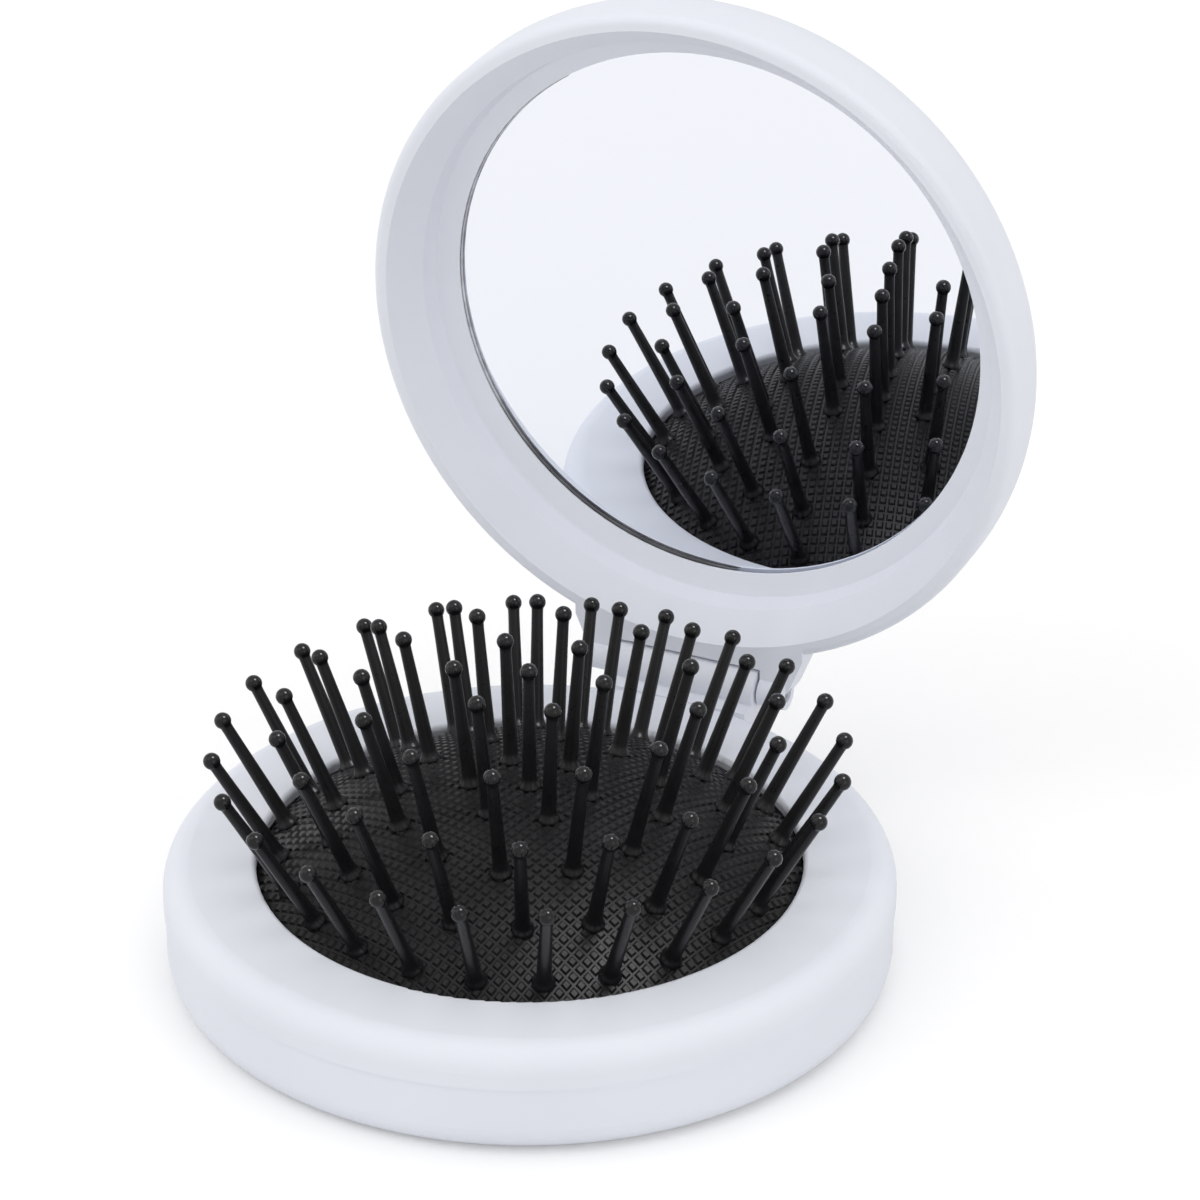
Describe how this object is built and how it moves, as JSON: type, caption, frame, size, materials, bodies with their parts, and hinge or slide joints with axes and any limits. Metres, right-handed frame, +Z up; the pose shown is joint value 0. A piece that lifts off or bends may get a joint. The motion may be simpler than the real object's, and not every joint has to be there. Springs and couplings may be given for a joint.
{
  "type": "folding hairbrush",
  "caption": "Round folding hairbrush: a pop-up pad of ball-tipped pins in a flat base, under a hinged lid with a mirror inside.",
  "frame": {"origin": "centre of the round base at its underside, on the plane it stands on", "axes": "+Z up out of the bristles, +X along the hinge, +Y towards the hinge; the lid stands open behind the base"},
  "size_m": [0.066, 0.0773, 0.0791],
  "materials": {
    "frosted_plastic": "frosted, slightly see-through",
    "inner_plastic": "satin",
    "pad_rubber": "matt with a fine diamond texture",
    "pin_plastic": "semi-gloss",
    "pin_steel": "drawn wire",
    "mirror": "polished, with a bevelled edge",
    "tape": "foam tape"
  },
  "bodies": {
    "base": {"base_shell": "frosted_plastic", "base_ring": "frosted_plastic", "pad_clamp_ring": "inner_plastic", "bristle_pad": "pad_rubber"},
    "lid": {"lid_shell": "frosted_plastic", "lid_frame": "frosted_plastic", "mirror_glass": "mirror", "mirror_tape": "tape", "hinge_pin": "pin_steel"},
    "pad_middle": {"push_plate": "frosted_plastic", "pad_hub": "inner_plastic", "centre_pin": "pin_plastic", "inner_pins_1": "pin_plastic", "inner_pins_2": "pin_plastic", "inner_pins_3": "pin_plastic"},
    "second_ring_pins_1": {"second_ring_pins_1": "pin_plastic"},
    "second_ring_pins_2": {"second_ring_pins_2": "pin_plastic"},
    "second_ring_pins_3": {"second_ring_pins_3": "pin_plastic"},
    "second_ring_pins_4": {"second_ring_pins_4": "pin_plastic"},
    "second_ring_pins_5": {"second_ring_pins_5": "pin_plastic"},
    "second_ring_pins_6": {"second_ring_pins_6": "pin_plastic"},
    "third_ring_pins_1": {"third_ring_pins_1": "pin_plastic"},
    "third_ring_pins_2": {"third_ring_pins_2": "pin_plastic"},
    "third_ring_pins_3": {"third_ring_pins_3": "pin_plastic"},
    "third_ring_pins_4": {"third_ring_pins_4": "pin_plastic"},
    "third_ring_pins_5": {"third_ring_pins_5": "pin_plastic"},
    "third_ring_pins_6": {"third_ring_pins_6": "pin_plastic"},
    "third_ring_pins_7": {"third_ring_pins_7": "pin_plastic"},
    "third_ring_pins_8": {"third_ring_pins_8": "pin_plastic"},
    "third_ring_pins_9": {"third_ring_pins_9": "pin_plastic"},
    "outer_pins_1": {"outer_pins_1": "pin_plastic"},
    "outer_pins_2": {"outer_pins_2": "pin_plastic"},
    "outer_pins_3": {"outer_pins_3": "pin_plastic"},
    "outer_pins_4": {"outer_pins_4": "pin_plastic"},
    "outer_pins_5": {"outer_pins_5": "pin_plastic"},
    "outer_pins_6": {"outer_pins_6": "pin_plastic"},
    "outer_pins_7": {"outer_pins_7": "pin_plastic"},
    "outer_pins_8": {"outer_pins_8": "pin_plastic"},
    "outer_pins_9": {"outer_pins_9": "pin_plastic"},
    "outer_pins_10": {"outer_pins_10": "pin_plastic"},
    "outer_pins_11": {"outer_pins_11": "pin_plastic"},
    "outer_pins_12": {"outer_pins_12": "pin_plastic"}
  },
  "joints": [
    {"name": "lid_hinge", "type": "hinge", "parent": "base", "child": "lid", "pos_m": [0, 0.035, 0.0116], "axis": [1, 0, 0], "range_deg": [0, 88]},
    {"name": "pad_press", "type": "slide", "parent": "base", "child": "pad_middle", "axis": [0, 0, 1], "range_m": [-0.0129, 0], "deforming": ["bristle_pad"]},
    {"name": "second_ring_fold_1", "type": "hinge", "parent": "base", "child": "second_ring_pins_1", "pos_m": [0.03233, 0.01792, 0.01023], "axis": [0.4848, -0.8746, 0], "range_deg": [0, 24.48]},
    {"name": "second_ring_fold_2", "type": "hinge", "parent": "base", "child": "second_ring_pins_2", "pos_m": [0.00064, 0.03695, 0.01023], "axis": [0.9998, -0.0175, 0], "range_deg": [0, 24.48]},
    {"name": "second_ring_fold_3", "type": "hinge", "parent": "base", "child": "second_ring_pins_3", "pos_m": [-0.03168, 0.01904, 0.01023], "axis": [0.515, 0.8572, 0], "range_deg": [0, 24.48]},
    {"name": "second_ring_fold_4", "type": "hinge", "parent": "base", "child": "second_ring_pins_4", "pos_m": [-0.03233, -0.01792, 0.01023], "axis": [-0.4848, 0.8746, 0], "range_deg": [0, 24.48]},
    {"name": "second_ring_fold_5", "type": "hinge", "parent": "base", "child": "second_ring_pins_5", "pos_m": [-0.00064, -0.03695, 0.01023], "axis": [-0.9998, 0.0175, 0], "range_deg": [0, 24.48]},
    {"name": "second_ring_fold_6", "type": "hinge", "parent": "base", "child": "second_ring_pins_6", "pos_m": [0.03168, -0.01904, 0.01023], "axis": [-0.515, -0.8572, 0], "range_deg": [0, 24.48]},
    {"name": "third_ring_fold_1", "type": "hinge", "parent": "base", "child": "third_ring_pins_1", "pos_m": [0.02724, 0.01213, 0.00943], "axis": [0.4067, -0.9135, 0], "range_deg": [0, 38.18]},
    {"name": "third_ring_fold_2", "type": "hinge", "parent": "base", "child": "third_ring_pins_2", "pos_m": [0.01307, 0.0268, 0.00943], "axis": [0.8988, -0.4384, 0], "range_deg": [0, 38.18]},
    {"name": "third_ring_fold_3", "type": "hinge", "parent": "base", "child": "third_ring_pins_3", "pos_m": [-0.00721, 0.02894, 0.00943], "axis": [0.9703, 0.2419, 0], "range_deg": [0, 38.18]},
    {"name": "third_ring_fold_4", "type": "hinge", "parent": "base", "child": "third_ring_pins_4", "pos_m": [-0.02413, 0.01753, 0.00943], "axis": [0.5878, 0.809, 0], "range_deg": [0, 38.18]},
    {"name": "third_ring_fold_5", "type": "hinge", "parent": "base", "child": "third_ring_pins_5", "pos_m": [-0.02975, -0.00208, 0.00943], "axis": [-0.0698, 0.9976, 0], "range_deg": [0, 38.18]},
    {"name": "third_ring_fold_6", "type": "hinge", "parent": "base", "child": "third_ring_pins_6", "pos_m": [-0.02145, -0.02072, 0.00943], "axis": [-0.6947, 0.7193, 0], "range_deg": [0, 38.18]},
    {"name": "third_ring_fold_7", "type": "hinge", "parent": "base", "child": "third_ring_pins_7", "pos_m": [-0.00312, -0.02966, 0.00943], "axis": [-0.9945, 0.1045, 0], "range_deg": [0, 38.18]},
    {"name": "third_ring_fold_8", "type": "hinge", "parent": "base", "child": "third_ring_pins_8", "pos_m": [0.01668, -0.02472, 0.00943], "axis": [-0.829, -0.5592, 0], "range_deg": [0, 38.18]},
    {"name": "third_ring_fold_9", "type": "hinge", "parent": "base", "child": "third_ring_pins_9", "pos_m": [0.02867, -0.00822, 0.00943], "axis": [-0.2756, -0.9613, 0], "range_deg": [0, 38.18]},
    {"name": "outer_fold_1", "type": "hinge", "parent": "base", "child": "outer_pins_1", "pos_m": [0.02624, 0.01034, 0.00841], "axis": [0.3665, -0.9304, 0], "range_deg": [0, 50.8]},
    {"name": "outer_fold_2", "type": "hinge", "parent": "base", "child": "outer_pins_2", "pos_m": [0.01756, 0.02207, 0.00841], "axis": [0.7826, -0.6225, 0], "range_deg": [0, 50.8]},
    {"name": "outer_fold_3", "type": "hinge", "parent": "base", "child": "outer_pins_3", "pos_m": [0.00417, 0.02789, 0.00841], "axis": [0.989, -0.1478, 0], "range_deg": [0, 50.8]},
    {"name": "outer_fold_4", "type": "hinge", "parent": "base", "child": "outer_pins_4", "pos_m": [-0.01034, 0.02624, 0.00841], "axis": [0.9304, 0.3665, 0], "range_deg": [0, 50.8]},
    {"name": "outer_fold_5", "type": "hinge", "parent": "base", "child": "outer_pins_5", "pos_m": [-0.02207, 0.01756, 0.00841], "axis": [0.6225, 0.7826, 0], "range_deg": [0, 50.8]},
    {"name": "outer_fold_6", "type": "hinge", "parent": "base", "child": "outer_pins_6", "pos_m": [-0.02789, 0.00417, 0.00841], "axis": [0.1478, 0.989, 0], "range_deg": [0, 50.8]},
    {"name": "outer_fold_7", "type": "hinge", "parent": "base", "child": "outer_pins_7", "pos_m": [-0.02624, -0.01034, 0.00841], "axis": [-0.3665, 0.9304, 0], "range_deg": [0, 50.8]},
    {"name": "outer_fold_8", "type": "hinge", "parent": "base", "child": "outer_pins_8", "pos_m": [-0.01756, -0.02207, 0.00841], "axis": [-0.7826, 0.6225, 0], "range_deg": [0, 50.8]},
    {"name": "outer_fold_9", "type": "hinge", "parent": "base", "child": "outer_pins_9", "pos_m": [-0.00417, -0.02789, 0.00841], "axis": [-0.989, 0.1478, 0], "range_deg": [0, 50.8]},
    {"name": "outer_fold_10", "type": "hinge", "parent": "base", "child": "outer_pins_10", "pos_m": [0.01034, -0.02624, 0.00841], "axis": [-0.9304, -0.3665, 0], "range_deg": [0, 50.8]},
    {"name": "outer_fold_11", "type": "hinge", "parent": "base", "child": "outer_pins_11", "pos_m": [0.02207, -0.01756, 0.00841], "axis": [-0.6225, -0.7826, 0], "range_deg": [0, 50.8]},
    {"name": "outer_fold_12", "type": "hinge", "parent": "base", "child": "outer_pins_12", "pos_m": [0.02789, -0.00417, 0.00841], "axis": [-0.1478, -0.989, 0], "range_deg": [0, 50.8]}
  ],
  "couplings": [
    {"joint": "pad_press", "follows": "lid_hinge", "m_per_rad": -0.008399},
    {"joint": "second_ring_fold_1", "follows": "lid_hinge", "ratio": 0.2781},
    {"joint": "second_ring_fold_2", "follows": "lid_hinge", "ratio": 0.2781},
    {"joint": "second_ring_fold_3", "follows": "lid_hinge", "ratio": 0.2781},
    {"joint": "second_ring_fold_4", "follows": "lid_hinge", "ratio": 0.2781},
    {"joint": "second_ring_fold_5", "follows": "lid_hinge", "ratio": 0.2781},
    {"joint": "second_ring_fold_6", "follows": "lid_hinge", "ratio": 0.2781},
    {"joint": "third_ring_fold_1", "follows": "lid_hinge", "ratio": 0.4338},
    {"joint": "third_ring_fold_2", "follows": "lid_hinge", "ratio": 0.4338},
    {"joint": "third_ring_fold_3", "follows": "lid_hinge", "ratio": 0.4338},
    {"joint": "third_ring_fold_4", "follows": "lid_hinge", "ratio": 0.4338},
    {"joint": "third_ring_fold_5", "follows": "lid_hinge", "ratio": 0.4338},
    {"joint": "third_ring_fold_6", "follows": "lid_hinge", "ratio": 0.4338},
    {"joint": "third_ring_fold_7", "follows": "lid_hinge", "ratio": 0.4338},
    {"joint": "third_ring_fold_8", "follows": "lid_hinge", "ratio": 0.4338},
    {"joint": "third_ring_fold_9", "follows": "lid_hinge", "ratio": 0.4338},
    {"joint": "outer_fold_1", "follows": "lid_hinge", "ratio": 0.57721},
    {"joint": "outer_fold_2", "follows": "lid_hinge", "ratio": 0.57721},
    {"joint": "outer_fold_3", "follows": "lid_hinge", "ratio": 0.57721},
    {"joint": "outer_fold_4", "follows": "lid_hinge", "ratio": 0.57721},
    {"joint": "outer_fold_5", "follows": "lid_hinge", "ratio": 0.57721},
    {"joint": "outer_fold_6", "follows": "lid_hinge", "ratio": 0.57721},
    {"joint": "outer_fold_7", "follows": "lid_hinge", "ratio": 0.57721},
    {"joint": "outer_fold_8", "follows": "lid_hinge", "ratio": 0.57721},
    {"joint": "outer_fold_9", "follows": "lid_hinge", "ratio": 0.57721},
    {"joint": "outer_fold_10", "follows": "lid_hinge", "ratio": 0.57721},
    {"joint": "outer_fold_11", "follows": "lid_hinge", "ratio": 0.57721},
    {"joint": "outer_fold_12", "follows": "lid_hinge", "ratio": 0.57721}
  ]
}
